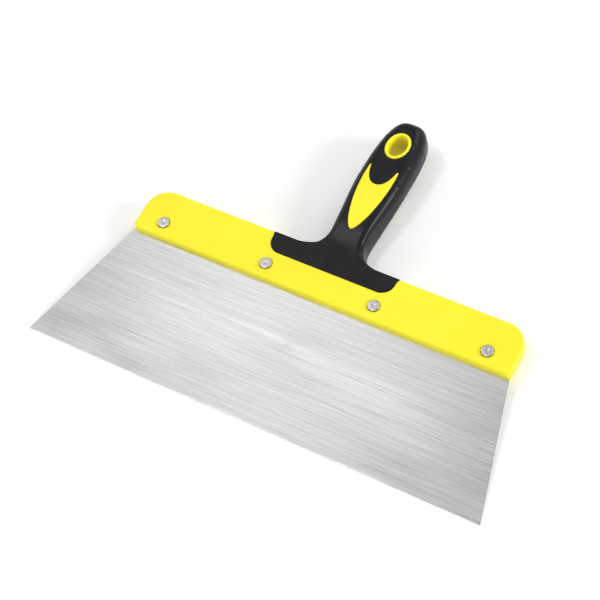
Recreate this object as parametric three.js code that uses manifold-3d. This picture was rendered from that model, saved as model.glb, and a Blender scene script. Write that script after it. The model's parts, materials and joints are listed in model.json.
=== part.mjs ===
// A flexible putty knife: a wide sheet-steel blade, riveted into the slot of a plastic holder whose
// stem is covered with a soft moulded grip. Millimetres, +Z up. The knife lies on its back on z = 0.
import * as THREE from "three";
import { mergeVertices } from "three/addons/utils/BufferGeometryUtils.js";
import Module from "manifold-3d";

const wasm = await Module();
wasm.setup();

// ---- Driving dimensions ----
// The pieces are made in the knife's own plane: x along the cutting edge, y from the holder's lower
// edge up the handle, z out of the front face, with z = 0 in the middle of the blade.
const GAP = 0.3; // clearance between pieces that touch

const EDGE_LENGTH = 350; // cutting edge
const BLADE_THICKNESS = 0.5;
const BLADE_SHOWN = 98; // from the cutting edge to the holder
const BLADE_HIDDEN = 25; // inside the holder's slot
const BLADE_AT_HOLDER = 295; // blade width where it enters the holder
const BLADE_TURN = 0.6; // how far below the holder the blade's side edges turn in
const BLADE_TOP = 278; // blade width at its hidden top edge

const BAR_LENGTH = 294.6;
const BAR_HEIGHT = 35.5;
const BAR_THICKNESS = 11;
const BAR_TOP_CORNER = 16;
const BAR_BOTTOM_CORNER = 3;
const BAR_EDGE_ROUND = 1.2;

const RIVET_COUNT = 4;
const RIVET_SPACING = 84.7;
const RIVET_Y = 10.6;
const RIVET_SHANK = 2.2; // radius
const RIVET_HEAD = 4.5; // radius
const RIVET_HEAD_HEIGHT = 0.9;
const RIVET_BORE = 1.3; // radius of the hollow behind
const RIVET_BORE_DEPTH = 3.4;
const RIVET_ROLL = 3.8; // radius of the rolled rim behind
const RIVET_ROLL_HEIGHT = 0.8;
const RIVET_DIMPLE = 1.5; // radius of the dimple in the head
const RIVET_DIMPLE_DEPTH = 0.3;

const FOOT_HALF_LENGTH = 48.2; // the grip's T-shaped foot on the bar
const FOOT_FLARE = 1; // how far its ends flare out along the bar's top edge
const FOOT_FLARE_HEIGHT = 3;
const FOOT_BOTTOM = 21;
const FOOT_CORNER = 9.5;
const FOOT_THICKNESS = 12.2;
const FOOT_SKIN = 1.5;
const FOOT_EDGE_ROUND = 0.7;

const NECK_HALF_WIDTH = 13.6;
const NECK_FILLET = 18; // between the foot's top edge and the neck
const NECK_TOP = BAR_HEIGHT + NECK_FILLET;
// The front rises gently from the foot into the neck, and the back is deeper and more square.
// Heights above the blade's plane at the neck, the belly and the end, and edge radii at the same.
const FRONT = { riseFrom: 40, rise: 24, heights: [9.4, 11.3, 10], rounds: [3.5, 9.3, 9.3] };
const BACK = { riseFrom: 35.5, rise: 8, heights: [12.2, 11.8, 12.5], rounds: [1, 7.5, 5] };
const NECK_ROUND_RISE = 6; // length over which the edges grow round
const BELLY_HALF_WIDTH = 17.8;
const BELLY_Y = 98;
const HANDLE_END = 152.2;
const END_FULLNESS = 3.05; // exponent of the superellipse from the belly to the end
const END_ROUND = 9.3; // how far the front and the back fall away over the end
const GRIP_SKIN = 2;

const RIB_Y = [98.5, 116.5, 134.5]; // shallow ribs across the handle's sides
const RIB_HALF_WIDTH = 1.8;
const RIB_HEIGHT = 0.3;

const LEAF_TIP_Y = 56.3; // the leaf-shaped window
const LEAF_WIDEST_Y = 101;
const LEAF_HALF_WIDTH = 11.5;
const LEAF_HORN_Y = 107.8;
const LEAF_NOTCH_Y = 93.6;
const LEAF_TIP_ROUNDNESS = 4.2; // reach of the tip's curve to either side
const LEAF_SHOULDER = 19.7; // from the tip to where its sides run straight up
const LEAF_HORN_WIDTH = 1.1;
const LEAF_HORN_LEAN = 0.35; // how far the horns lean in from the widest place
const LEAF_HORN_HOOK = [1.6, 9]; // steers the inner side of a horn, in from its tip
const LEAF_NOTCH_REACH = 5.4; // how far the notch stays flat to either side
const LEAF_PROUD = 0.35;

const RING_Y = 127.8; // the oval ring round the hang hole
const RING_HALF_WIDTH = 8.9;
const RING_HALF_LENGTH = 11.2;
const RING_WALL = 2.4;
const RING_PROUD = 0.5;
const HOLE_DRAFT = 0.25; // the hole narrows this much towards its middle
const HOLE_HALF_LENGTH = 15; // past the front and the back of the handle

const THROUGH = 20; // half the length of a cutter that passes through the whole handle
const PAST = 1; // how far a cutter reaches past the edge it cuts off
const DRILL_SIDES = 24;
const RIVET_SIDES = 28;
const HOLE_SIDES = 40;

// ---- Shapes into solids ----
function solid(geometry) {
  const bare = geometry.clone();
  bare.deleteAttribute("normal");
  bare.deleteAttribute("uv");
  const merged = mergeVertices(bare, 1e-4);
  const mesh = new wasm.Mesh({
    numProp: 3,
    vertProperties: merged.attributes.position.array,
    triVerts: new Uint32Array(merged.index.array),
  });
  return new wasm.Manifold(mesh);
}

function geometryOf(body) {
  const mesh = body.getMesh();
  const geometry = new THREE.BufferGeometry();
  geometry.setAttribute("position", new THREE.BufferAttribute(mesh.vertProperties, 3));
  geometry.setIndex(new THREE.BufferAttribute(mesh.triVerts, 1));
  const faceted = geometry.toNonIndexed();
  faceted.computeVertexNormals();
  return faceted;
}

// A flat outline with a thickness, and rounded edges if asked for.
function plate(shape, bottom, top, edgeRound = 0, curveSegments = 10) {
  const geometry = new THREE.ExtrudeGeometry(shape, {
    depth: top - bottom - 2 * edgeRound,
    bevelEnabled: edgeRound > 0,
    bevelSize: edgeRound,
    bevelThickness: edgeRound,
    bevelOffset: -edgeRound,
    bevelSegments: 3,
    curveSegments,
  });
  return solid(geometry.translate(0, 0, bottom + edgeRound));
}

function box(left, right, low, high, back, front) {
  const geometry = new THREE.BoxGeometry(right - left, high - low, front - back);
  geometry.translate((left + right) / 2, (low + high) / 2, (back + front) / 2);
  return solid(geometry);
}

// A closed body through a row of rings of points, with a fan of faces over each end.
function loft(rings) {
  const size = rings[0].length;
  const points = rings.flat();
  const first = points.push(centreOf(rings[0])) - 1;
  const last = points.push(centreOf(rings.at(-1))) - 1;
  const top = (rings.length - 1) * size;
  const faces = [];
  for (let i = 0; i < size; i++) {
    const next = (i + 1) % size;
    faces.push(first, i, next);
    faces.push(last, top + next, top + i);
    for (let row = 0; row < top; row += size) {
      faces.push(row + i, row + size + i, row + next);
      faces.push(row + next, row + size + i, row + size + next);
    }
  }
  const geometry = new THREE.BufferGeometry().setFromPoints(points);
  return solid(geometry.setIndex(faces));
}

function centreOf(ring) {
  const sum = new THREE.Vector3();
  for (const point of ring) sum.add(point);
  return sum.divideScalar(ring.length);
}

// ---- Outlines ----
const bladeOutline = new THREE.Shape();
{
  const flare = (EDGE_LENGTH - BLADE_AT_HOLDER) / 2 / BLADE_SHOWN;
  const turn = BLADE_AT_HOLDER / 2 + flare * BLADE_TURN;
  bladeOutline.moveTo(-EDGE_LENGTH / 2, -BLADE_SHOWN);
  bladeOutline.lineTo(EDGE_LENGTH / 2, -BLADE_SHOWN);
  bladeOutline.lineTo(turn, -BLADE_TURN);
  bladeOutline.lineTo(BLADE_TOP / 2, BLADE_HIDDEN);
  bladeOutline.lineTo(-BLADE_TOP / 2, BLADE_HIDDEN);
  bladeOutline.lineTo(-turn, -BLADE_TURN);
  bladeOutline.closePath();
}

const barOutline = new THREE.Shape();
{
  const half = BAR_LENGTH / 2;
  const low = BAR_BOTTOM_CORNER;
  const high = BAR_TOP_CORNER;
  barOutline.moveTo(-half + low, 0);
  barOutline.absarc(half - low, low, low, -Math.PI / 2, 0);
  barOutline.absarc(half - high, BAR_HEIGHT - high, high, 0, Math.PI / 2);
  barOutline.absarc(-half + high, BAR_HEIGHT - high, high, Math.PI / 2, Math.PI);
  barOutline.absarc(-half + low, low, low, Math.PI, 1.5 * Math.PI);
}

// The grip's foot, grown by a margin for the recess it sits in.
function footOutline(margin) {
  const half = FOOT_HALF_LENGTH + margin;
  const corner = FOOT_CORNER + margin;
  const bottom = FOOT_BOTTOM - margin;
  const top = BAR_HEIGHT + margin;
  const flareStart = BAR_HEIGHT - FOOT_FLARE_HEIGHT;
  const shape = new THREE.Shape();
  shape.moveTo(-half - FOOT_FLARE, top);
  shape.lineTo(-half, flareStart);
  shape.absarc(-half + corner, bottom + corner, corner, Math.PI, 1.5 * Math.PI);
  shape.absarc(half - corner, bottom + corner, corner, -Math.PI / 2, 0);
  shape.lineTo(half, flareStart);
  shape.lineTo(half + FOOT_FLARE, top);
  shape.closePath();
  return shape;
}

function leafOutline(margin) {
  const half = LEAF_HALF_WIDTH + margin;
  const tip = LEAF_TIP_Y - margin;
  const horn = LEAF_HORN_Y + margin;
  const hornOut = half - LEAF_HORN_LEAN;
  const hornIn = hornOut - LEAF_HORN_WIDTH - 2 * margin;
  const notch = LEAF_NOTCH_Y + margin;
  const tipReach = LEAF_TIP_ROUNDNESS + margin;
  const shoulder = tip + LEAF_SHOULDER;
  const [innerX, innerY] = [hornIn - LEAF_HORN_HOOK[0], horn - LEAF_HORN_HOOK[1]];
  const shape = new THREE.Shape();
  shape.moveTo(0, tip);
  shape.bezierCurveTo(tipReach, tip, half, shoulder, half, LEAF_WIDEST_Y);
  shape.lineTo(hornOut, horn);
  shape.lineTo(hornIn, horn);
  shape.bezierCurveTo(innerX, innerY, LEAF_NOTCH_REACH, notch, 0, notch);
  shape.bezierCurveTo(-LEAF_NOTCH_REACH, notch, -innerX, innerY, -hornIn, horn);
  shape.lineTo(-hornOut, horn);
  shape.lineTo(-half, LEAF_WIDEST_Y);
  shape.bezierCurveTo(-half, shoulder, -tipReach, tip, 0, tip);
  return shape;
}

function ringOutline(margin) {
  const shape = new THREE.Shape();
  shape.absellipse(0, RING_Y, RING_HALF_WIDTH + margin, RING_HALF_LENGTH + margin, 0, 2 * Math.PI);
  return shape;
}

// ---- The handle's body: a neck that grows out of the foot, a belly and a round end ----
const smooth = (t) => THREE.MathUtils.smoothstep(t, 0, 1);

// From 0 at the neck's top to 1 at the belly.
function swelling(y) {
  return smooth((y - NECK_TOP) / (BELLY_Y - NECK_TOP));
}

// A value along the handle: from the foot to the neck over the rise, then to the belly and the end.
function along(y, riseFrom, rise, foot, [neck, belly, end]) {
  const risen = smooth((y - riseFrom) / rise);
  const ended = smooth((y - BELLY_Y) / (HANDLE_END - BELLY_Y));
  return foot + (neck - foot) * risen + (belly - neck) * swelling(y) + (end - belly) * ended;
}

function faceHeight(y, side) {
  return along(y, side.riseFrom, side.rise, FOOT_THICKNESS / 2, side.heights);
}

function edgeRound(y, side) {
  return along(y, BAR_HEIGHT, NECK_ROUND_RISE, FOOT_EDGE_ROUND, side.rounds);
}

function ribHeight(y) {
  let height = 0;
  for (const middle of RIB_Y) {
    const t = Math.abs(y - middle) / RIB_HALF_WIDTH;
    if (t < 1) height += RIB_HEIGHT * (1 - smooth(t));
  }
  return height;
}

// Stations along the handle as [y, half width, drop of the two faces], shrunk by inset.
function stations(inset) {
  const list = [];
  const radius = NECK_FILLET + inset;
  const filletSteps = 8;
  for (let i = 0; i < filletSteps; i++) {
    const angle = (i / filletSteps) * (Math.PI / 2);
    const width = NECK_HALF_WIDTH + NECK_FILLET - radius * Math.sin(angle);
    list.push([NECK_TOP - radius * Math.cos(angle), width, inset]);
  }
  const neckSteps = 10;
  for (let i = 0; i < neckSteps; i++) {
    const y = THREE.MathUtils.lerp(NECK_TOP, RIB_Y[0] - RIB_HALF_WIDTH, i / neckSteps);
    const width = NECK_HALF_WIDTH + (BELLY_HALF_WIDTH - NECK_HALF_WIDTH) * swelling(y);
    list.push([y, width - inset, inset]);
  }
  const endLength = HANDLE_END - BELLY_Y - inset;
  const endWidth = (y) => {
    const part = Math.max(0, y - BELLY_Y) / endLength;
    return (BELLY_HALF_WIDTH - inset) * (1 - part ** END_FULLNESS) ** (1 / END_FULLNESS);
  };
  for (const rib of RIB_Y) {
    for (const part of [-1, -0.5, 0, 0.5, 1]) {
      const y = rib + part * RIB_HALF_WIDTH;
      list.push([y, endWidth(y) + (inset > 0 ? 0 : ribHeight(y)), inset]);
    }
  }
  const start = Math.asin((RIB_Y.at(-1) + RIB_HALF_WIDTH - BELLY_Y) / endLength);
  const stop = Math.PI / 2 - 0.02; // just short of the tip, where the width would be nothing
  const round = END_ROUND - Math.max(inset, 0);
  const endSteps = 9;
  for (let i = 1; i <= endSteps; i++) {
    const y = BELLY_Y + endLength * Math.sin(THREE.MathUtils.lerp(start, stop, i / endSteps));
    const over = Math.max(0, y - (BELLY_Y + endLength - round));
    const drop = round - Math.sqrt(round ** 2 - over ** 2);
    list.push([y, endWidth(y), inset + drop]);
  }
  return list;
}

// One section across the handle: a rectangle, each side given by its height and its corners' radius.
function sectionRing(y, width, front, back, arcSteps) {
  const frontX = width - front.corner;
  const frontZ = front.height - front.corner;
  const backX = width - back.corner;
  const backZ = back.corner - back.height;
  const shape = new THREE.Shape();
  shape.moveTo(width, backZ);
  shape.absarc(frontX, frontZ, front.corner, 0, Math.PI / 2);
  shape.absarc(-frontX, frontZ, front.corner, Math.PI / 2, Math.PI);
  shape.absarc(-backX, backZ, back.corner, Math.PI, 1.5 * Math.PI);
  shape.absarc(backX, backZ, back.corner, 1.5 * Math.PI, 2 * Math.PI);
  const points = shape.getPoints(arcSteps).slice(0, -1);
  return points.map((p) => new THREE.Vector3(p.x, y, p.y));
}

// The handle's body, shrunk by inset, or grown where inset is negative.
function handleBody(inset) {
  const arcSteps = inset > 0 ? 1 : 3;
  const leastCorner = 0.2;
  const leastFlat = 0.1; // what the corners leave of a narrow section's sides
  const rings = stations(inset).map(([y, width, drop]) => {
    const [front, back] = [FRONT, BACK].map((side) => {
      const height = faceHeight(y, side) - drop;
      const wanted = edgeRound(y, side) - Math.max(inset, 0);
      const room = Math.min(width, height) - leastFlat;
      return { height, corner: Math.max(leastCorner, Math.min(wanted, room)) };
    });
    return sectionRing(y, width, front, back, arcSteps);
  });
  return loft(rings);
}

// ---- Pieces ----
function windowCutter(outline) {
  return plate(outline, -THROUGH, THROUGH);
}

const rivetX = [];
for (let i = 0; i < RIVET_COUNT; i++) rivetX.push((i - (RIVET_COUNT - 1) / 2) * RIVET_SPACING);

function drillForRivets(body) {
  const holeRadius = RIVET_SHANK + GAP;
  for (const x of rivetX) {
    const length = 2 * BAR_THICKNESS;
    const drill = new THREE.CylinderGeometry(holeRadius, holeRadius, length, DRILL_SIDES);
    drill.rotateX(Math.PI / 2).translate(x, RIVET_Y, 0);
    body = body.subtract(solid(drill));
  }
  return body;
}

function makeBlade() {
  return drillForRivets(plate(bladeOutline, -BLADE_THICKNESS / 2, BLADE_THICKNESS / 2));
}

const webHalf = FOOT_THICKNESS / 2 - FOOT_SKIN - GAP; // the bar inside the grip's foot
const webTop = BAR_HEIGHT - FOOT_SKIN + GAP;

// The oval hole through the ring, narrowing towards its middle.
function hangHole() {
  const width = RING_HALF_WIDTH - RING_WALL;
  const length = RING_HALF_LENGTH - RING_WALL;
  const middle = 1 - HOLE_DRAFT / width;
  const cones = [1, -1].map((side) => {
    const cone = new THREE.CylinderGeometry(1, middle, HOLE_HALF_LENGTH, HOLE_SIDES);
    cone.translate(0, HOLE_HALF_LENGTH / 2, 0).rotateX((side * Math.PI) / 2);
    return solid(cone.scale(width, length, 1).translate(0, RING_Y, 0));
  });
  return cones[0].add(cones[1]);
}

function makeHolder() {
  const halfBar = BAR_THICKNESS / 2;
  let bar = plate(barOutline, -halfBar, halfBar, BAR_EDGE_ROUND);
  const recess = footOutline(GAP);
  bar = bar.subtract(plate(recess, webHalf, BAR_THICKNESS));
  bar = bar.subtract(plate(recess, -BAR_THICKNESS, -webHalf));
  const footEnd = FOOT_HALF_LENGTH + FOOT_FLARE + GAP;
  const overBar = BAR_HEIGHT + PAST;
  bar = bar.subtract(box(-footEnd, footEnd, webTop, overBar, -BAR_THICKNESS, BAR_THICKNESS));

  const leaf = windowCutter(leafOutline(0)).intersect(handleBody(-LEAF_PROUD));
  const ring = windowCutter(ringOutline(0)).intersect(handleBody(-RING_PROUD));
  let body = bar.add(handleBody(GRIP_SKIN + GAP)).add(leaf).add(ring).subtract(hangHole());

  const slotHalf = BLADE_THICKNESS / 2 + GAP;
  const slotEnd = BLADE_AT_HOLDER / 2 + PAST;
  body = body.subtract(box(-slotEnd, slotEnd, -PAST, BLADE_HIDDEN + GAP, -slotHalf, slotHalf));
  return drillForRivets(body);
}

function makeGrip() {
  const half = FOOT_THICKNESS / 2;
  const foot = plate(footOutline(0), -half, half, FOOT_EDGE_ROUND, 4);
  const slotEnd = FOOT_HALF_LENGTH + FOOT_FLARE + PAST;
  const slotHalf = webHalf + GAP;
  return foot
    .add(handleBody(0))
    .subtract(box(-slotEnd, slotEnd, 0, webTop + GAP, -slotHalf, slotHalf))
    .subtract(handleBody(GRIP_SKIN))
    .subtract(windowCutter(leafOutline(GAP)))
    .subtract(windowCutter(ringOutline(GAP)));
}

// A semi-tubular rivet about its own axis: a flat dimpled head in front, a rolled end behind.
function makeRivet() {
  const seat = BAR_THICKNESS / 2 + GAP;
  const head = seat + RIVET_HEAD_HEIGHT;
  const roll = -seat - RIVET_ROLL_HEIGHT;
  const bevel = 0.5; // of the head's rim and of the rolled rim
  const profile = [
    [0, -seat + RIVET_BORE_DEPTH + bevel],
    [RIVET_BORE, -seat + RIVET_BORE_DEPTH],
    [RIVET_BORE, -seat],
    [RIVET_BORE + bevel, roll],
    [RIVET_ROLL - bevel, roll],
    [RIVET_ROLL, roll + bevel],
    [RIVET_ROLL, -seat],
    [RIVET_SHANK, -seat],
    [RIVET_SHANK, seat],
    [RIVET_HEAD, seat],
    [RIVET_HEAD, head - bevel],
    [RIVET_HEAD - bevel, head],
    [RIVET_DIMPLE, head],
    [0, head - RIVET_DIMPLE_DEPTH],
  ];
  const points = profile.map(([radius, y]) => new THREE.Vector2(radius, y));
  return solid(new THREE.LatheGeometry(points, RIVET_SIDES).rotateX(Math.PI / 2));
}

// ---- Materials ----
const steel = { color: 0xc9cacc, roughness: 0.35, metalness: 1 };
const yellowPlastic = { color: 0xfff03a, roughness: 0.35, metalness: 0 };
const blackRubber = { color: 0x2c2c30, roughness: 0.6, metalness: 0 };
const aluminium = { color: 0xd9d7da, roughness: 0.4, metalness: 1 };

function piece(name, body, look) {
  const mesh = new THREE.Mesh(geometryOf(body), new THREE.MeshStandardMaterial(look));
  mesh.name = name;
  return mesh;
}

// ---- Assembly ----
const knife = new THREE.Group();
knife.add(piece("blade", makeBlade(), steel));
knife.add(piece("holder", makeHolder(), yellowPlastic));
knife.add(piece("grip", makeGrip(), blackRubber));
rivetX.forEach((x, i) => {
  const rivet = piece(`rivet_${i + 1}`, makeRivet(), aluminium);
  rivet.position.set(x, RIVET_Y, 0);
  knife.add(rivet);
});

// The knife rests on the blade's back edge and on the back of the handle: the tilt that brings the
// first of the handle's points down to the table, with the cutting edge as the hinge.
function restTilt() {
  const edge = new THREE.Vector2(-BLADE_SHOWN, -BLADE_THICKNESS / 2);
  let steepest = 0;
  for (const mesh of knife.children) {
    const points = mesh.geometry.getAttribute("position");
    for (let i = 0; i < points.count; i++) {
      const reach = points.getY(i) + mesh.position.y - edge.x;
      const below = edge.y - points.getZ(i);
      if (reach > 1) steepest = Math.max(steepest, Math.atan2(below, reach));
    }
  }
  return steepest;
}
knife.rotation.x = restTilt();

const puttyKnife = new THREE.Group();
puttyKnife.add(knife);
puttyKnife.updateMatrixWorld(true);
const bounds = new THREE.Box3().setFromObject(puttyKnife, true);
const middle = bounds.getCenter(new THREE.Vector3());
knife.position.set(-middle.x, -middle.y, -bounds.min.z);

export default puttyKnife;
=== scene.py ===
"""A flexible putty knife that lies on its back: a brushed steel blade, a yellow plastic holder with a
soft black grip, and four pressed rivets.

Shapes are made in the knife's own plane, in millimetres: x along the cutting edge, y from the
holder's lower edge up the handle, z out of the front face, with z = 0 in the middle of the blade.
"""

import itertools
import json
import math

import bpy
import numpy as np
from mathutils import Matrix, Vector
from mathutils.geometry import delaunay_2d_cdt


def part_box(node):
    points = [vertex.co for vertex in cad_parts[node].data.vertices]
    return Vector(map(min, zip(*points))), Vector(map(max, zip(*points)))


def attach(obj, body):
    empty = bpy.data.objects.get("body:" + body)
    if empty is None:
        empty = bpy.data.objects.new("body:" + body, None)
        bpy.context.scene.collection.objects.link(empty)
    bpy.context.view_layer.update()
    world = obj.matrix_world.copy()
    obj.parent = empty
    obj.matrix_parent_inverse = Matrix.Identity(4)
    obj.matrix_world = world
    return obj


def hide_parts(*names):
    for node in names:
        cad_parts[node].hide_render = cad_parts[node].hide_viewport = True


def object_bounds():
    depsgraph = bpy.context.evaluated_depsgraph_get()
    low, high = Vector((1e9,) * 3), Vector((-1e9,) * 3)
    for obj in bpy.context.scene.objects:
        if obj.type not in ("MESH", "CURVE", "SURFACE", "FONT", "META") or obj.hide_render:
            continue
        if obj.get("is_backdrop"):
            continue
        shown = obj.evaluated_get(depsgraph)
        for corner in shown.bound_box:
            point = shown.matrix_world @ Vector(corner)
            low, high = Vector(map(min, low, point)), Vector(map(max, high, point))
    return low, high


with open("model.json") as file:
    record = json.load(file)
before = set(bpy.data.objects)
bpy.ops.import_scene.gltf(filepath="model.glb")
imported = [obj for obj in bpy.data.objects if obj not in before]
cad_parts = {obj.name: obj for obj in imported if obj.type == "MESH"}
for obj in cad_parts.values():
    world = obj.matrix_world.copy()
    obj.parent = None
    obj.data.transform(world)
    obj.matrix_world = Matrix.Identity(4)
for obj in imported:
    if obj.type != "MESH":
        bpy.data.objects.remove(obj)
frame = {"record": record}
cad_low, cad_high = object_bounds()

MM = 0.001

# ---- Driving dimensions, in millimetres ----
GAP = 0.3  # clearance between the grip and the holder, and round the rivets' shanks

BLADE_THICKNESS = 0.5
BLADE_SHOWN = 98  # from the cutting edge to the holder
BLADE_HIDDEN = 25  # inside the holder's slot
BLADE_AT_HOLDER = 295  # its width where it enters the holder
BLADE_TURN = 0.6  # how far below the holder its side edges turn in
BLADE_TOP = 278  # its width at the hidden edge
BLADE_EDGE_ROUND = 0.08
SLOT_GAP = 0.04  # the holder grips the blade this closely

BAR_HEIGHT = 35.5
BAR_THICKNESS = 11
BAR_TOP_CORNER = 16
BAR_BOTTOM_CORNER = 3
BAR_EDGE_ROUND = 1.5

RIVET_COUNT = 4
RIVET_SPACING = 84.7
RIVET_Y = 10.6
RIVET_SHANK = 2.2  # radius
RIVET_HEAD = 4.25  # radius
RIVET_HEAD_HEIGHT = 0.9
RIVET_HEAD_ROUND = 0.5
RIVET_SEAT = 4.6  # radius of the shallow seat round each head
RIVET_SINK = 0.6  # its depth
RIVET_SEAT_CHAMFER = 0.15
RIVET_BORE = 1.3  # radius of the hollow behind
RIVET_BORE_DEPTH = 3.2
RIVET_ROLL = 3.7  # radius of the rolled rim behind
RIVET_ROLL_HEIGHT = 0.95
RIVET_DIMPLE = 1.5  # radius of the dimple in the head
RIVET_DIMPLE_DEPTH = 0.14
RIVET_CLEAR = 0.02  # between a rivet and the faces it clamps

FOOT_HALF_LENGTH = 48.2  # the grip's T-shaped foot on the bar
FOOT_FLARE = 1  # how far its ends flare out along the bar's top edge
FOOT_BOTTOM = 21
FOOT_CORNER = 9.5
FOOT_THICKNESS = 12.2
FOOT_SKIN = 1.5
FOOT_EDGE_ROUND = 0.7
FOOT_TIP = 0.2  # cut off the sharp ends of its flare

NECK_HALF_WIDTH = 13.6
NECK_FILLET = 18  # between the foot's top edge and the neck
NECK_TOP = BAR_HEIGHT + NECK_FILLET
# The front rises gently from the foot into the neck, and the back is deeper and more square.
# Heights above the blade's plane at the neck, the belly and the end, and the edge's radius at each.
FRONT = {"rise_from": 40, "rise": 24, "heights": (9.4, 11.3, 10), "rounds": (4.4, 9.3, 9.3)}
BACK = {"rise_from": 35.5, "rise": 8, "heights": (12.15, 11.8, 12.5), "rounds": (1, 7.5, 5)}
NECK_ROUND_RISE = 6  # length over which the edges grow round
BELLY_HALF_WIDTH = 17.8
BELLY_Y = 98
HANDLE_END = 151.8
END_FULLNESS = 3.05  # exponent of the superellipse from the belly to the end
GRIP_SKIN = 2
STEM_ROOT = 33  # where the stem starts, inside the bar

RIB_Y = (98.5, 116.5, 134.5)  # shallow ribs across the handle's sides
RIB_HALF_WIDTH = 1.8
RIB_HEIGHT = 0.17
RIB_FADE = 1.6  # how fast the ribs fade out from the handle's side to its faces

LEAF_TIP_Y = 56.3  # the leaf-shaped window
LEAF_WIDEST_Y = 101
LEAF_HALF_WIDTH = 11.5
LEAF_HORN_Y = 107.8
LEAF_NOTCH_Y = 93.6
LEAF_TIP_ROUNDNESS = 4.2  # reach of the tip's curve to either side
LEAF_SHOULDER = 19.7  # from the tip to where its sides run straight up
LEAF_HORN_WIDTH = 1.1
LEAF_HORN_LEAN = 0.35  # how far the horns lean in from the widest place
LEAF_HORN_HOOK = (1.6, 9)  # steers the inner side of a horn, in from its tip
LEAF_NOTCH_REACH = 0.47 * LEAF_HALF_WIDTH  # how far the notch stays flat to either side
LEAF_PROUD = 0.35
LEAF_EDGE_ROUND = 0.8

RING_Y = 127.8  # the oval ring round the hang hole
RING_HALF_WIDTH = 8.9
RING_HALF_LENGTH = 11.2
RING_WALL = 2.4
RING_PROUD = 0.5
RING_EDGE_ROUND = 1.1
HOLE_DRAFT = 0.25  # the hole narrows this much towards its middle
LIP_ROUND = 0.35  # the grip's edge round its two windows

PAST = 1  # how far a cutter reaches past what it cuts off

# The knife's plane in the frame: the blade's box gives its place, and a mount's axis its tilt.
blade_low, blade_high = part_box("blade")
holder_low, holder_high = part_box("holder")
edge_inset = 0.01  # keeps the visible blade just inside its box
half_edge = (blade_high.x - blade_low.x) / MM / 2 - edge_inset
half_bar = (holder_high.x - holder_low.x) / MM / 2
half_sheet = BLADE_THICKNESS / 2
axes = {mount["name"]: mount["axis"] for mount in frame["record"]["mounts"]}
front_axis = axes["bar_front"]
tilt = math.atan2(-front_axis[1], front_axis[2])
plane_y = blade_low.y / MM + BLADE_SHOWN * math.cos(tilt) + half_sheet * math.sin(tilt)
plane_z = blade_low.z / MM + BLADE_SHOWN * math.sin(tilt) + half_sheet * math.cos(tilt)
knife_plane = Matrix.Translation((0, plane_y * MM, plane_z * MM)) @ Matrix.Rotation(tilt, 4, "X")


# ---- Outlines, as rows of points ----
def line(start, end, step):
    """Points from start up to but not including end."""
    start, end = np.array(start, float), np.array(end, float)
    count = max(1, round(np.linalg.norm(end - start) / step))
    return start + np.outer(np.arange(count) / count, end - start)


def arc(centre, radius, start, end, step):
    """Points on an arc between two angles in degrees, without the last one."""
    turn = math.radians(end - start)
    count = max(2, round(abs(turn) * radius / step))
    angles = math.radians(start) + turn * np.arange(count) / count
    return np.array(centre) + radius * np.stack([np.cos(angles), np.sin(angles)], axis=1)


def bezier(points, count=80):
    """Points on a cubic Bezier curve, without the last one."""
    a, b, c, d = (np.array(point, float) for point in points)
    t = (np.arange(count) / count)[:, None]
    return (1 - t) ** 3 * a + 3 * (1 - t) ** 2 * t * b + 3 * (1 - t) * t**2 * c + t**3 * d


def ellipse(centre, half_width, half_length, count):
    """Points round an ellipse, anticlockwise."""
    angles = 2 * math.pi * np.arange(count) / count
    offsets = np.stack([half_width * np.cos(angles), half_length * np.sin(angles)], axis=1)
    return np.array(centre) + offsets


def mirrored(right):
    """A closed outline from its right half, which runs anticlockwise from x = 0 to x = 0."""
    left = right[1:-1][::-1] * np.array([-1, 1])
    return np.concatenate([right, left])


def evenly(points, step):
    """The same closed outline with its points about a step apart."""
    lengths = np.linalg.norm(np.roll(points, -1, axis=0) - points, axis=1)
    travelled = np.concatenate([[0], np.cumsum(lengths)])
    closed = np.concatenate([points, points[:1]])
    marks = np.linspace(0, travelled[-1], round(travelled[-1] / step), endpoint=False)
    return np.stack([np.interp(marks, travelled, closed[:, axis]) for axis in (0, 1)], axis=1)


def right_of(tangent):
    """Unit vectors to the right of each direction, which is outwards on an anticlockwise outline."""
    normal = np.stack([tangent[:, 1], -tangent[:, 0]], axis=1)
    return normal / np.linalg.norm(normal, axis=1)[:, None]


def outward(points):
    """Unit normals of a closed anticlockwise outline."""
    return right_of(np.roll(points, -1, axis=0) - np.roll(points, 1, axis=0))


def smooth(t):
    """From 0 to 1 as t does, with a level start and end."""
    t = np.clip(t, 0, 1)
    return t * t * (3 - 2 * t)


# ---- The handle's body ----
def swelling(y):
    """From 0 at the neck's top to 1 at the belly."""
    return smooth((y - NECK_TOP) / (BELLY_Y - NECK_TOP))


def along(y, rise_from, rise, foot, values):
    """A value along the handle: from the foot to the neck, then to the belly and the end."""
    neck, belly, end = values
    risen = smooth((y - rise_from) / rise)
    ended = smooth((y - BELLY_Y) / (HANDLE_END - BELLY_Y))
    return foot + (neck - foot) * risen + (belly - neck) * swelling(y) + (end - belly) * ended


def face_height(y, side):
    """How high the handle's front or back stands off the blade's plane."""
    return along(y, side["rise_from"], side["rise"], FOOT_THICKNESS / 2, side["heights"])


def edge_round(y, side):
    """The radius of the handle's edge on its front or back."""
    return along(y, BAR_HEIGHT, NECK_ROUND_RISE, FOOT_EDGE_ROUND, side["rounds"])


def rib_height(y):
    """How far the ribs stand out of the handle's side."""
    return sum(RIB_HEIGHT * (1 - smooth(np.abs(y - rib) / RIB_HALF_WIDTH)) for rib in RIB_Y)


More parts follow.
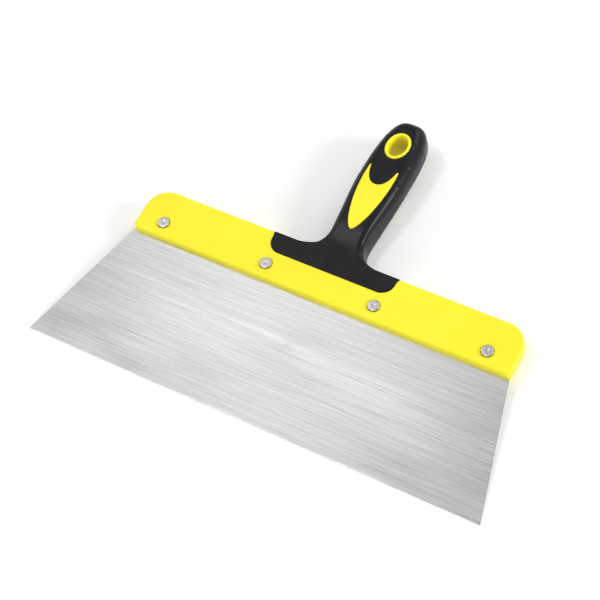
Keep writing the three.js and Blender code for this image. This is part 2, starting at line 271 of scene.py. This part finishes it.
def handle_side(step):
    """The handle's right side, from the foot's top edge round the neck and up to the end's middle."""
    fillet = arc((NECK_HALF_WIDTH + NECK_FILLET, NECK_TOP), NECK_FILLET, 270, 180, step)
    y = np.arange(NECK_TOP, BELLY_Y, step)
    width = NECK_HALF_WIDTH + (BELLY_HALF_WIDTH - NECK_HALF_WIDTH) * swelling(y)
    neck = np.stack([width, y], axis=1)
    end_steps = 200
    angle = np.linspace(0, math.pi / 2, end_steps)
    end_x = BELLY_HALF_WIDTH * np.cos(angle) ** (2 / END_FULLNESS)
    end_y = BELLY_Y + (HANDLE_END - BELLY_Y) * np.sin(angle) ** (2 / END_FULLNESS)
    end_x[-1] = 0
    return np.concatenate([fillet, neck, np.stack([end_x, end_y], axis=1)])


def stem_outline(inset, step):
    """The handle's outline above the foot, shrunk by an inset, and closed inside the bar."""
    above_foot = BAR_HEIGHT + 0.4
    side = handle_side(step)
    side = side[side[:, 1] > above_foot]
    side = side - right_of(np.gradient(side, axis=0)) * inset
    root = [(0, STEM_ROOT), (side[0, 0], STEM_ROOT)]
    return evenly(mirrored(np.concatenate([root, side])), step)


def foot_side(margin, top, step):
    """The foot's right side from the middle of its lower edge up to the given height."""
    corner = (FOOT_HALF_LENGTH - FOOT_CORNER, FOOT_BOTTOM + FOOT_CORNER)
    half = FOOT_HALF_LENGTH + margin
    flare_steps = 12
    y = np.linspace(corner[1], top, flare_steps)
    flare = FOOT_FLARE * np.clip((y - corner[1]) / (BAR_HEIGHT - corner[1]), 0, 1) ** 2
    return np.concatenate(
        [
            line((0, FOOT_BOTTOM - margin), (corner[0], FOOT_BOTTOM - margin), step),
            arc(corner, FOOT_CORNER + margin, -90, 0, step),
            np.stack([half + flare, y], axis=1),
        ]
    )


def grip_outline(step):
    """The outline of the foot and the handle together."""
    foot_end = (FOOT_HALF_LENGTH + FOOT_FLARE - FOOT_TIP, BAR_HEIGHT)
    neck_start = (NECK_HALF_WIDTH + NECK_FILLET, BAR_HEIGHT)
    right = [
        foot_side(0, BAR_HEIGHT - FOOT_TIP, step),
        line(foot_end, neck_start, step),
        handle_side(step),
    ]
    return evenly(mirrored(np.concatenate(right)), step)


def leaf_outline(step):
    """A leaf with its tip down, and a notch between two rounded horns at the top."""
    horn_out = LEAF_HALF_WIDTH - LEAF_HORN_LEAN
    horn_in = horn_out - LEAF_HORN_WIDTH
    horn_round = LEAF_HORN_WIDTH / 2
    horn_base = LEAF_HORN_Y - horn_round
    horn_centre = (horn_out - horn_round, horn_base)
    tip = (0, LEAF_TIP_Y)
    tip_side = (LEAF_TIP_ROUNDNESS, LEAF_TIP_Y)
    shoulder = (LEAF_HALF_WIDTH, LEAF_TIP_Y + LEAF_SHOULDER)
    widest = (LEAF_HALF_WIDTH, LEAF_WIDEST_Y)
    hook = (horn_in - LEAF_HORN_HOOK[0], LEAF_HORN_Y - LEAF_HORN_HOOK[1])
    notch = (0, LEAF_NOTCH_Y)
    notch_side = (LEAF_NOTCH_REACH, LEAF_NOTCH_Y)
    right = [
        bezier([tip, tip_side, shoulder, widest]),
        line(widest, (horn_out, horn_base), 0.3),
        arc(horn_centre, horn_round, 0, 180, 0.15),
        bezier([(horn_in, horn_base), hook, notch_side, notch]),
        [notch],
    ]
    return evenly(mirrored(np.concatenate(right)), step)


def bar_outline(corner_step, long_step, end_step):
    """A long bar with wide round corners at its top and small ones at the blade."""
    low, high = BAR_BOTTOM_CORNER, BAR_TOP_CORNER
    right = [
        line((0, 0), (half_bar - low, 0), long_step),
        arc((half_bar - low, low), low, -90, 0, corner_step),
        line((half_bar, low), (half_bar, BAR_HEIGHT - high), end_step),
        arc((half_bar - high, BAR_HEIGHT - high), high, 0, 90, corner_step),
        line((half_bar - high, BAR_HEIGHT), (0, BAR_HEIGHT), long_step),
        [(0, BAR_HEIGHT)],
    ]
    return mirrored(np.concatenate(right))


# ---- Plates: a flat outline with holes, between a front and a back surface ----
RING_STEPS = 6  # rows of points over a rounded edge
FLAT_MARGIN = 0.35  # one more row this far inside, so that the flats keep their shading


class Loop:
    """One outline of a plate, with the radius of its edge on the front and on the back."""

    def __init__(self, points, front_round, back_round, hole=False, wall=()):
        """The wall lists levels down the edge: how far from front to back, how far they stand out."""
        count = len(points)
        self.points = points
        self.rounds = [np.full(count, radius, float) for radius in (front_round, back_round)]
        self.hole = hole
        self.wall = wall
        self.inwards = outward(points) * (1 if hole else -1)

    def nearest(self, points):
        """Distance from each point to the outline, and the place on it as a fractional index."""
        start = self.points
        step = np.roll(start, -1, axis=0) - start
        distance = np.empty(len(points))
        place = np.empty(len(points))
        batch = 2000
        for first in range(0, len(points), batch):
            away = points[first : first + batch, None, :] - start[None]
            t = np.clip((away * step).sum(2) / (step**2).sum(1), 0, 1)
            gaps = np.linalg.norm(away - t[..., None] * step, axis=2)
            best = gaps.argmin(1)
            rows = np.arange(len(best))
            distance[first : first + batch] = gaps[rows, best]
            place[first : first + batch] = best + t[rows, best]
        return distance, place

    def radius_at(self, place, side):
        """The edge's radius at fractional indices, on the front (0) or on the back (1)."""
        values = self.rounds[side]
        low = np.floor(place).astype(int) % len(values)
        share = place - np.floor(place)
        return values[low] * (1 - share) + values[(low + 1) % len(values)] * share

    def allows(self, points):
        """Which points lie on the plate's side of the outline."""
        x, y = points[:, :1], points[:, 1:]
        x0, y0 = self.points.T
        x1, y1 = np.roll(x0, -1), np.roll(y0, -1)
        with np.errstate(divide="ignore", invalid="ignore"):
            left_of = x < x0 + (y - y0) * (x1 - x0) / (y1 - y0)
        crossings = (((y0 > y) != (y1 > y)) & left_of).sum(1)
        return (crossings % 2 == 1) != self.hole

    def rows(self):
        """Rows of points in from the edge, closest together where the edge curves most."""
        for k in range(1, RING_STEPS + 1):
            away = self.rounds[0] * (1 - math.cos(math.pi / 2 * k / RING_STEPS))
            yield self.points + self.inwards * away[:, None], away
        away = self.rounds[0] + FLAT_MARGIN
        yield self.points + self.inwards * away[:, None], away


def drop(distance, radius):
    """How far a rounded edge falls away at a distance from the outline."""
    short = radius - np.minimum(distance, radius)
    return radius - np.sqrt(np.maximum(radius**2 - short**2, 0))


def edge_rows(loops):
    """Points in rows along the plate's rounded edges, where no other outline is in the way."""
    least = 0.05  # a row closer to its outline than this is left out
    apart = 0.15  # between a row's points and the other outlines
    own_slack = 0.98  # points nearer to their own outline than this share of their row are in a corner
    for loop in loops:
        for row, away in loop.rows():
            keep = away > least
            for other in loops:
                gap, _ = other.nearest(row)
                keep &= gap >= (away * own_slack if other is loop else apart)
                keep &= other.allows(row)
            yield row[keep]


def inner_grid(loops, spacing):
    """An even grid of points over the rest of the plate, every second row shifted by half."""
    low, high = loops[0].points.min(0), loops[0].points.max(0)
    rows = []
    for row, y in enumerate(np.arange(low[1], high[1], spacing * math.sqrt(3) / 2)):
        x = np.arange(low[0] + (row % 2) * spacing / 2, high[0], spacing)
        rows.append(np.stack([x, np.full_like(x, y)], axis=1))
    grid = np.concatenate(rows)
    margin = FLAT_MARGIN + 0.4 * spacing  # keeps triangles beside the rows from getting thin
    keep = np.ones(len(grid), bool)
    for loop in loops:
        gap, place = loop.nearest(grid)
        keep &= gap > loop.radius_at(place, 0) + margin
        keep &= loop.allows(grid)
    return grid[keep]


def triangulated(loops, spacing):
    """The plate's flat points and triangles, and for each loop the indices of its points."""
    border = np.concatenate([loop.points for loop in loops])
    points = np.concatenate([border, *edge_rows(loops), inner_grid(loops, spacing)])
    starts = np.cumsum([0] + [len(loop.points) for loop in loops[:-1]])
    edges = []
    for loop, start in zip(loops, starts):
        count = len(loop.points)
        edges += [(int(start + i), int(start + (i + 1) % count)) for i in range(count)]
    made = delaunay_2d_cdt([Vector(point) for point in points], edges, [], 0, 1e-6)
    flat = np.array([tuple(point) for point in made[0]])
    index_of = {source: i for i, sources in enumerate(made[3]) for source in sources}
    faces = np.array([face for face in made[2] if len(face) == 3])
    centres = flat[faces].mean(1)
    sliver = 0.001  # a triangle this close to an outline has no height
    keep = np.ones(len(faces), bool)
    rims = []
    for loop, start in zip(loops, starts):
        keep &= loop.allows(centres) & (loop.nearest(centres)[0] > sliver)
        rims.append(np.array([index_of[start + i] for i in range(len(loop.points))]))
    return flat, faces[keep], rims


def rib_shift(loop, gap, place, radius, y, outwards):
    """How far the ribs move the points of a rounded edge, square to its surface."""
    share = np.clip(1 - gap / radius, 0, 1)
    spot = np.round(place).astype(int) % len(loop.points)
    shift = np.empty((len(y), 3))
    shift[:, :2] = -loop.inwards[spot] * share[:, None]
    shift[:, 2] = outwards * np.sqrt(1 - share**2)
    return shift * (smooth(share * RIB_FADE) * rib_height(y))[:, None]


def plate_surface(flat, loops, side, height, ribbed):
    """The plate's points on its front (0) or its back (1), fallen away along every edge."""
    x, y = flat.T
    outwards = 1 - 2 * side
    z = height(x, y)
    shift = np.zeros((len(flat), 3))
    least_radius = 1e-6
    for loop in loops:
        gap, place = loop.nearest(flat)
        radius = np.maximum(loop.radius_at(place, side), least_radius)
        z = z - outwards * drop(gap, radius)
        if ribbed and not loop.hole:
            shift = rib_shift(loop, gap, place, radius, y, outwards)
    return np.stack([x, y, z], axis=1) + shift


def plate(name, loops, front, back, spacing, ribbed=False):
    """A closed mesh between two height functions, with a rounded edge along every loop."""
    flat, faces, rims = triangulated(loops, spacing)
    surfaces = [
        plate_surface(flat, loops, side, height, ribbed) for side, height in enumerate((front, back))
    ]
    count = len(flat)
    vertices = list(surfaces)
    polygons = [tuple(face) for face in faces] + [tuple(face[::-1] + count) for face in faces]
    total = 2 * count
    for loop, rim in zip(loops, rims):
        rows = [rim]
        for share, inset in loop.wall:
            level = surfaces[0][rim] * (1 - share) + surfaces[1][rim] * share
            level[:, :2] -= loop.inwards * inset
            vertices.append(level)
            rows.append(np.arange(total, total + len(rim)))
            total += len(rim)
        rows.append(rim + count)
        for upper, lower in zip(rows, rows[1:]):
            if loop.hole:
                upper, lower = lower, upper
            polygons += list(zip(upper, lower, np.roll(lower, -1), np.roll(upper, -1)))
    return mesh_object(name, np.concatenate(vertices), polygons)


def mesh_object(name, points, polygons):
    """An object from points in the knife's plane, in millimetres."""
    mesh = bpy.data.meshes.new(name)
    faces = [tuple(map(int, face)) for face in polygons]
    mesh.from_pydata([tuple(point) for point in points], [], faces)
    mesh.transform(knife_plane @ Matrix.Scale(MM, 4))
    made = bpy.data.objects.new(name, mesh)
    bpy.context.scene.collection.objects.link(made)
    return made


def block(name, low, high):
    """A plain box, used only for cutting."""
    corners = list(itertools.product(*zip(low, high)))
    faces = [(0, 1, 3, 2), (4, 6, 7, 5), (0, 4, 5, 1), (2, 3, 7, 6), (0, 2, 6, 4), (1, 5, 7, 3)]
    return mesh_object(name, corners, faces)


def combine(target, others, operation):
    """Changes the target by a boolean with each of the others, which are used up."""
    for other in others:
        modifier = target.modifiers.new(operation, "BOOLEAN")
        modifier.operation = operation
        modifier.solver = "MANIFOLD"
        modifier.object = other
        bpy.context.view_layer.update()
        depsgraph = bpy.context.evaluated_depsgraph_get()
        result = bpy.data.meshes.new_from_object(target.evaluated_get(depsgraph))
        target.modifiers.remove(modifier)
        target.data = result
        bpy.data.objects.remove(other)


def shade(made, angle=32):
    """Smooth shading, with edges sharper than the angle kept crisp."""
    made.data.polygons.foreach_set("use_smooth", [True] * len(made.data.polygons))
    made.data.set_sharp_from_angle(angle=math.radians(angle))
    return made


# ---- Pieces ----
rivet_x = [(i - (RIVET_COUNT - 1) / 2) * RIVET_SPACING for i in range(RIVET_COUNT)]
web_half = FOOT_THICKNESS / 2 - FOOT_SKIN - GAP  # the bar inside the grip's foot
web_top = BAR_HEIGHT - FOOT_SKIN + GAP


def level(height):
    """A flat height function."""
    return lambda x, y: np.full_like(x, height)


def rivet_holes(edge):
    """Round holes through a plate for the rivets' shanks."""
    radius = RIVET_SHANK + GAP
    return [Loop(ellipse((x, RIVET_Y), radius, radius, 40), edge, edge, hole=True) for x in rivet_x]


def handle_body(name, inset, step, spacing, windows=()):
    """The handle's body, shrunk by an inset, with any windows through it."""
    least_round = 0.3
    outline = stem_outline(inset, step) if inset else grip_outline(step)
    rounds = [np.maximum(edge_round(outline[:, 1], side) - inset, least_round) for side in (FRONT, BACK)]
    loops = [Loop(outline, *rounds), *windows]

    def front(x, y):
        return face_height(y, FRONT) - inset

    def back(x, y):
        return inset - face_height(y, BACK)

    return plate(name, loops, front, back, spacing, ribbed=not inset)


def make_blade():
    """The sheet, wider towards its cutting edge, with its rivet holes."""
    turn = BLADE_AT_HOLDER / 2 + (half_edge - BLADE_AT_HOLDER / 2) * BLADE_TURN / BLADE_SHOWN
    corners = [
        (0, -BLADE_SHOWN),
        (half_edge, -BLADE_SHOWN),
        (turn, -BLADE_TURN),
        (BLADE_TOP / 2, BLADE_HIDDEN),
        (0, BLADE_HIDDEN),
    ]
    sides = [line(start, end, 5) for start, end in zip(corners, corners[1:])]
    outline = mirrored(np.concatenate([*sides, corners[-1:]]))
    loops = [Loop(outline, BLADE_EDGE_ROUND, BLADE_EDGE_ROUND), *rivet_holes(BLADE_EDGE_ROUND)]
    return shade(plate("blade_sheet", loops, level(half_sheet), level(-half_sheet), 6))


def make_grip():
    """The soft skin: a closed body with its two windows, hollowed out for the bar and the stem."""
    leaf = leaf_outline(0.5)
    leaf = leaf + outward(leaf) * GAP
    ring = ellipse((0, RING_Y), RING_HALF_WIDTH + GAP, RING_HALF_LENGTH + GAP, 120)
    windows = [Loop(outline, LIP_ROUND, LIP_ROUND, hole=True) for outline in (leaf, ring)]
    grip = handle_body("grip_skin", 0, 0.7, 1.0, windows)
    slot_end = FOOT_HALF_LENGTH + FOOT_FLARE + PAST
    slot_half = web_half + GAP
    slot = block("slot", (-slot_end, 0, -slot_half), (slot_end, web_top + GAP, slot_half))
    combine(grip, [slot, handle_body("cavity", GRIP_SKIN, 1.5, 4)], "DIFFERENCE")
    return shade(grip)


def surface_over(outer, side, raised):
    """The height of the handle's rounded face, raised a little, on the front (0) or the back (1)."""
    outwards = 1 - 2 * side
    profile = (FRONT, BACK)[side]

    def height(x, y):
        gap, place = outer.nearest(np.stack([x, y], axis=1))
        fallen = drop(gap, outer.radius_at(place, side))
        return outwards * (face_height(y, profile) - fallen + raised)

    return height


def make_bar():
    """The bar, with a slot for the blade, recesses for the grip's foot and seats for the rivets."""
    half = BAR_THICKNESS / 2
    hole_round = 0.2
    outline = Loop(bar_outline(0.5, 4, 2), BAR_EDGE_ROUND, BAR_EDGE_ROUND)
    bar = plate("holder_body", [outline, *rivet_holes(hole_round)], level(half), level(-half), 4)

    past_top = BAR_HEIGHT + 3 * PAST
    past_face = half + 2 * PAST
    side = foot_side(GAP, past_top, 0.7)
    top_edge = line(side[-1], (0, past_top), 6)[1:]
    recess = Loop(mirrored(np.concatenate([side, top_edge, [(0, past_top)]])), 0, 0)
    front = plate("front_recess", [recess], level(past_face), level(web_half), 8)
    back = plate("back_recess", [recess], level(-web_half), level(-past_face), 8)

    foot_end = FOOT_HALF_LENGTH + FOOT_FLARE + GAP
    top = block("top", (-foot_end, web_top, -half - PAST), (foot_end, past_top, half + PAST))
    slot_half = half_sheet + SLOT_GAP
    slot_end = BLADE_AT_HOLDER / 2 + 2 * PAST
    slot = block("slot", (-slot_end, -PAST, -slot_half), (slot_end, BLADE_HIDDEN + GAP, slot_half))
    combine(bar, [front, back, top, slot, *map(rivet_seat, rivet_x)], "DIFFERENCE")
    return bar


def rivet_seat(x):
    """A cutter for the shallow seat that a rivet's head sits in, with a chamfered mouth."""
    face = BAR_THICKNESS / 2
    mouth = RIVET_SEAT + 2 * RIVET_SEAT_CHAMFER
    profile = [
        (0, face - RIVET_SINK),
        (RIVET_SEAT, face - RIVET_SINK),
        (RIVET_SEAT, face - RIVET_SEAT_CHAMFER),
        (mouth, face + RIVET_SEAT_CHAMFER),
        (mouth, face + PAST),
        (0, face + PAST),
    ]
    return lathe("seat", profile, x)


def make_holder():
    """The bar, its stem inside the grip, and the leaf and the ring that show through it."""
    outline = grip_outline(1.0)
    outer = Loop(outline, *(edge_round(outline[:, 1], side) for side in (FRONT, BACK)))
    leaf_loop = Loop(leaf_outline(0.4), LEAF_EDGE_ROUND, LEAF_EDGE_ROUND)
    leaf_faces = [surface_over(outer, side, LEAF_PROUD) for side in (0, 1)]
    leaf = plate("leaf", [leaf_loop], *leaf_faces, 0.9)

    hole_half_width = RING_HALF_WIDTH - RING_WALL
    hole_half_length = RING_HALF_LENGTH - RING_WALL
    shares = np.linspace(0.08, 0.92, 7)  # levels down the hole's wall, from its front to its back
    wall = [(share, HOLE_DRAFT * (1 - abs(2 * share - 1))) for share in shares]
    hole = ellipse((0, RING_Y), hole_half_width, hole_half_length, 100)
    rim = ellipse((0, RING_Y), RING_HALF_WIDTH, RING_HALF_LENGTH, 130)
    ring_loops = [
        Loop(rim, RING_EDGE_ROUND, RING_EDGE_ROUND),
        Loop(hole, RING_EDGE_ROUND, RING_EDGE_ROUND, hole=True, wall=wall),
    ]
    ring_faces = [surface_over(outer, side, RING_PROUD) for side in (0, 1)]
    ring = plate("ring", ring_loops, *ring_faces, 0.7)

    middle_width = (RING_HALF_WIDTH + hole_half_width) / 2
    middle_length = (RING_HALF_LENGTH + hole_half_length) / 2
    window = Loop(ellipse((0, RING_Y), middle_width, middle_length, 60), 0, 0, hole=True)
    stem = handle_body("stem", GRIP_SKIN + GAP, 1.5, 4, [window])
    holder = make_bar()
    combine(holder, [stem, leaf, ring], "UNION")
    return shade(holder)


def make_rivet(index, x):
    """A pressed rivet: a low dimpled head in front, and a rolled rim round a bore behind."""
    front_seat = BAR_THICKNESS / 2 - RIVET_SINK + RIVET_CLEAR
    back_seat = -BAR_THICKNESS / 2 - RIVET_CLEAR
    deep = back_seat + RIVET_BORE_DEPTH
    # The bore's bottom is slightly rounded.
    bore = [(0, deep), (0.7 * RIVET_BORE, deep - 0.1), (RIVET_BORE, deep - 0.5)]

    roll = (RIVET_ROLL - RIVET_BORE) / 2
    rolled = [
        (RIVET_BORE + roll + roll * math.cos(angle), back_seat - RIVET_ROLL_HEIGHT * math.sin(angle))
        for angle in np.linspace(math.pi, 0, 13)
    ]

    head = BAR_THICKNESS / 2 + GAP + RIVET_HEAD_HEIGHT
    edge = RIVET_HEAD - RIVET_HEAD_ROUND
    rim = [
        (edge + RIVET_HEAD_ROUND * math.cos(angle), head + RIVET_HEAD_ROUND * (math.sin(angle) - 1))
        for angle in np.linspace(0, math.pi / 2, 7)
    ]
    dimple_steepness = 1.2
    dimple = [
        (radius, head - RIVET_DIMPLE_DEPTH * smooth(dimple_steepness * (1 - radius / RIVET_DIMPLE)))
        for radius in RIVET_DIMPLE * np.linspace(1.1, 0, 10)
    ]
    profile = [
        *bore,
        *rolled,
        (RIVET_SHANK, back_seat),
        (RIVET_SHANK, front_seat),
        (edge, front_seat),
        (RIVET_HEAD, front_seat + RIVET_HEAD_ROUND / 2),
        *rim,
        *dimple,
    ]
    return shade(lathe(f"rivet_head_{index}", profile, x), 50)


def lathe(name, profile, x, sides=72):
    """A turned piece about an axis along z, from (radius, z) pairs that start and end on the axis."""
    angles = 2 * math.pi * np.arange(sides) / sides
    circle = np.stack([np.cos(angles), np.sin(angles), np.zeros(sides)], axis=1)
    rings = [np.array([x, RIVET_Y, z]) + radius * circle for radius, z in profile[1:-1]]
    ends = [(x, RIVET_Y, profile[0][1]), (x, RIVET_Y, profile[-1][1])]
    points = np.concatenate([*rings, ends])
    first, last = len(points) - 2, len(points) - 1
    top = (len(rings) - 1) * sides
    faces = []
    for i in range(sides):
        j = (i + 1) % sides
        faces.append((first, j, i))
        faces.append((last, top + i, top + j))
        faces += [(row + i, row + j, row + sides + j, row + sides + i) for row in range(0, top, sides)]
    return mesh_object(name, points, faces)


# ---- Materials, with their sizes in metres ----
NOISE_RANGE = (0.3, 0.7)  # most of a noise lies between these


class Material:
    """A principled material whose noises are laid out in the frame's coordinates, in metres."""

    def __init__(self, name):
        self.material = bpy.data.materials.new(name)
        self.material.use_nodes = True
        self.tree = self.material.node_tree
        self.shader = self.tree.nodes["Principled BSDF"]
        self.where = self.tree.nodes.new("ShaderNodeTexCoord").outputs["Object"]

    def set(self, **values):
        """Values for the shader's inputs, named with _ for each space."""
        for name, value in values.items():
            self.shader.inputs[name.replace("_", " ")].default_value = value

    def noise(self, cell, stretch=(1, 1, 1), detail=3.0, roughness=0.5):
        """Noise with features about a cell across, in metres, stretched along the axes."""
        mapping = self.tree.nodes.new("ShaderNodeMapping")
        mapping.inputs["Scale"].default_value = [1 / cell / s for s in stretch]
        self.tree.links.new(self.where, mapping.inputs["Vector"])
        node = self.tree.nodes.new("ShaderNodeTexNoise")
        node.inputs["Scale"].default_value = 1
        node.inputs["Detail"].default_value = detail
        node.inputs["Roughness"].default_value = roughness
        self.tree.links.new(mapping.outputs[0], node.inputs["Vector"])
        return node.outputs[0]

    def between(self, factor, low, high):
        """A number that follows a noise factor between two values."""
        node = self.tree.nodes.new("ShaderNodeMapRange")
        node.inputs["From Min"].default_value = NOISE_RANGE[0]
        node.inputs["From Max"].default_value = NOISE_RANGE[1]
        node.inputs["To Min"].default_value = low
        node.inputs["To Max"].default_value = high
        self.tree.links.new(factor, node.inputs["Value"])
        return node.outputs["Result"]

    def colours(self, factor, low, high):
        """A colour that follows a noise factor between two colours."""
        ramp = self.tree.nodes.new("ShaderNodeValToRGB")
        for stop, position, colour in zip(ramp.color_ramp.elements, NOISE_RANGE, (low, high)):
            stop.position = position
            stop.color = (*colour, 1)
        self.tree.links.new(factor, ramp.inputs[0])
        return ramp.outputs["Color"]

    def shade_in_hollows(self, colour, reach):
        """The colour with painted shade: darker in hollows that are narrower than the reach, in metres."""
        hollow = self.tree.nodes.new("ShaderNodeAmbientOcclusion")
        hollow.only_local = True
        hollow.inputs["Distance"].default_value = reach
        self.tree.links.new(colour, hollow.inputs["Color"])
        return hollow.outputs["Color"]

    def link(self, output, name):
        """Lets a node drive one of the shader's inputs."""
        self.tree.links.new(output, self.shader.inputs[name])

    def bump(self, *layers):
        """Bump from (height factor, depth in metres) layers."""
        normal = None
        for factor, depth in layers:
            node = self.tree.nodes.new("ShaderNodeBump")
            node.inputs["Strength"].default_value = 1
            node.inputs["Distance"].default_value = depth
            self.tree.links.new(factor, node.inputs["Height"])
            if normal:
                self.tree.links.new(normal, node.inputs["Normal"])
            normal = node.outputs["Normal"]
        self.link(normal, "Normal")


def steel():
    """Rolled sheet with fine brushed lines along the cutting edge."""
    made = Material("brushed_steel")
    made.set(Metallic=1.0, Anisotropic=0.3)
    lines = made.noise(0.0006, stretch=(110, 1, 1), detail=4, roughness=0.75)
    blotches = made.noise(0.03, stretch=(2.5, 1, 1))
    made.link(made.colours(lines, (0.55, 0.55, 0.55), (0.91, 0.91, 0.915)), "Base Color")
    made.link(made.between(blotches, 0.20, 0.26), "Roughness")
    made.bump((lines, 0.000003))
    return made.material


def yellow_plastic():
    """Glossy moulded plastic with a faint orange-peel skin, and painted shade that darkens its colour in
    hollows.
    """
    made = Material("yellow_plastic")
    made.set(Specular_IOR_Level=0.2)
    cloud = made.noise(0.03)
    peel = made.noise(0.0011, detail=2)
    scuffs = made.noise(0.0035, detail=4)
    yellow = made.colours(cloud, (0.955, 0.845, 0.030), (0.995, 0.895, 0.040))
    # Painted shade: ambient occlusion darkens the yellow in the hang hole's wall and in other hollows.
    made.link(made.shade_in_hollows(yellow, 0.009), "Base Color")
    made.link(made.between(scuffs, 0.26, 0.36), "Roughness")
    made.bump((peel, 0.000008), (scuffs, 0.000003))
    return made.material


def black_rubber():
    """Soft-touch moulding: satin black with a fine grain."""
    made = Material("black_soft_plastic")
    cloud = made.noise(0.012)
    grain = made.noise(0.00028, detail=2)
    wave = made.noise(0.0025, detail=2)
    made.set(Specular_IOR_Level=0.13)
    made.link(made.colours(cloud, (0.0125, 0.0125, 0.015), (0.0175, 0.0175, 0.021)), "Base Color")
    made.link(made.between(grain, 0.25, 0.34), "Roughness")
    made.bump((wave, 0.00001), (grain, 0.00001))
    return made.material


def rivet_metal():
    """Plain pressed metal, slightly mottled."""
    made = Material("rivet_metal")
    made.set(Metallic=1.0)
    mottle = made.noise(0.0012, detail=4)
    scratches = made.noise(0.0003, stretch=(12, 1, 1), detail=2)
    made.link(made.colours(mottle, (0.50, 0.47, 0.46), (0.76, 0.72, 0.70)), "Base Color")
    made.link(made.between(mottle, 0.30, 0.44), "Roughness")
    made.bump((mottle, 0.00003), (scratches, 0.000008))
    return made.material


def place(made, node, slot, material):
    """Gives a finished piece its material, and hands it to the frame in its CAD node's place."""
    made.data.materials.clear()
    made.data.materials.append(material)
    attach(made, "root")
    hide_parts(node)


place(make_blade(), "blade", "steel", steel())
place(make_holder(), "holder", "yellow_plastic", yellow_plastic())
place(make_grip(), "grip", "black_soft_plastic", black_rubber())
pressed = rivet_metal()
for number, rivet_place in enumerate(rivet_x, start=1):
    place(make_rivet(number, rivet_place), f"rivet_{number}", "rivet_metal", pressed)


# ---- Stage: a white table, a white room, soft lights and a camera ----
def make_floor():
    """A pale table top, lifted to white by a little light of its own."""
    made = Material("floor")
    made.set(Base_Color=(0.92, 0.92, 0.92, 1), Roughness=0.8)
    made.set(Emission_Color=(1, 1, 1, 1), Emission_Strength=0.12)
    reach = 3
    corners = [(-reach, -reach, 0), (reach, -reach, 0), (reach, reach, 0), (-reach, reach, 0)]
    mesh = bpy.data.meshes.new("floor")
    mesh.from_pydata(corners, [], [(0, 1, 2, 3)])
    mesh.materials.append(made.material)
    floor = bpy.data.objects.new("floor", mesh)
    bpy.context.scene.collection.objects.link(floor)
    floor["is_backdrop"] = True


def make_light(name, direction, size, power):
    """A square soft light that shines on the knife from a direction given in the knife's plane."""
    distance = 2.2
    data = bpy.data.lights.new(name, "AREA")
    data.size = size
    data.energy = power
    light = bpy.data.objects.new(name, data)
    target = Vector((0, 0, 0.01))
    aim = (knife_plane.to_3x3() @ Vector(direction)).normalized()
    light.location = target + aim * distance
    light.rotation_euler = aim.to_track_quat("Z", "Y").to_euler()
    bpy.context.scene.collection.objects.link(light)


def make_camera():
    """A camera high above the knife, past its cutting edge and its right-hand end, rolled clockwise."""
    data = bpy.data.cameras.new("camera")
    data.lens = 106.32
    data.sensor_width = 36
    eye = Matrix.Translation(Vector((452.9, -420.1, 1028.9)) * MM)
    look = Vector((-0.384, 0.347, -0.856)).to_track_quat("-Z", "Y").to_matrix().to_4x4()
    roll = Matrix.Rotation(math.radians(-21.505), 4, "Z")
    camera = bpy.data.objects.new("camera", data)
    camera.matrix_world = knife_plane @ eye @ look @ roll
    bpy.context.scene.collection.objects.link(camera)
    bpy.context.scene.camera = camera


def make_world():
    """An even white room."""
    world = bpy.data.worlds.new("world")
    world.use_nodes = True
    background = world.node_tree.nodes["Background"]
    background.inputs["Color"].default_value = (1, 1, 1, 1)
    background.inputs["Strength"].default_value = 0.4
    bpy.context.scene.world = world


make_floor()
make_camera()
# The key is weak, because the blade mirrors it: it is the bright stretch in the blade's middle.
make_light("key", (-0.384, 0.38, 0.84), 0.75, 1.35)
make_light("top", (-0.384, -0.03, 0.91), 0.35, 7.2)
make_light("right", (0.88, 0.27, 0.38), 0.6, 25)
make_light("left", (-0.9, 0.1, 0.45), 1.0, 9.5)
make_light("behind", (0.3, 0.85, 0.55), 1.0, 11.5)
make_light("front", (0.1, -0.9, 0.35), 1.0, 14)
make_world()
bpy.context.scene.view_settings.view_transform = "Standard"

box_lines = [[list(corner) for corner in (cad_low, cad_high)], [list(corner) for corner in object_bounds()]]
"\n".join(json.dumps(box) for box in box_lines)
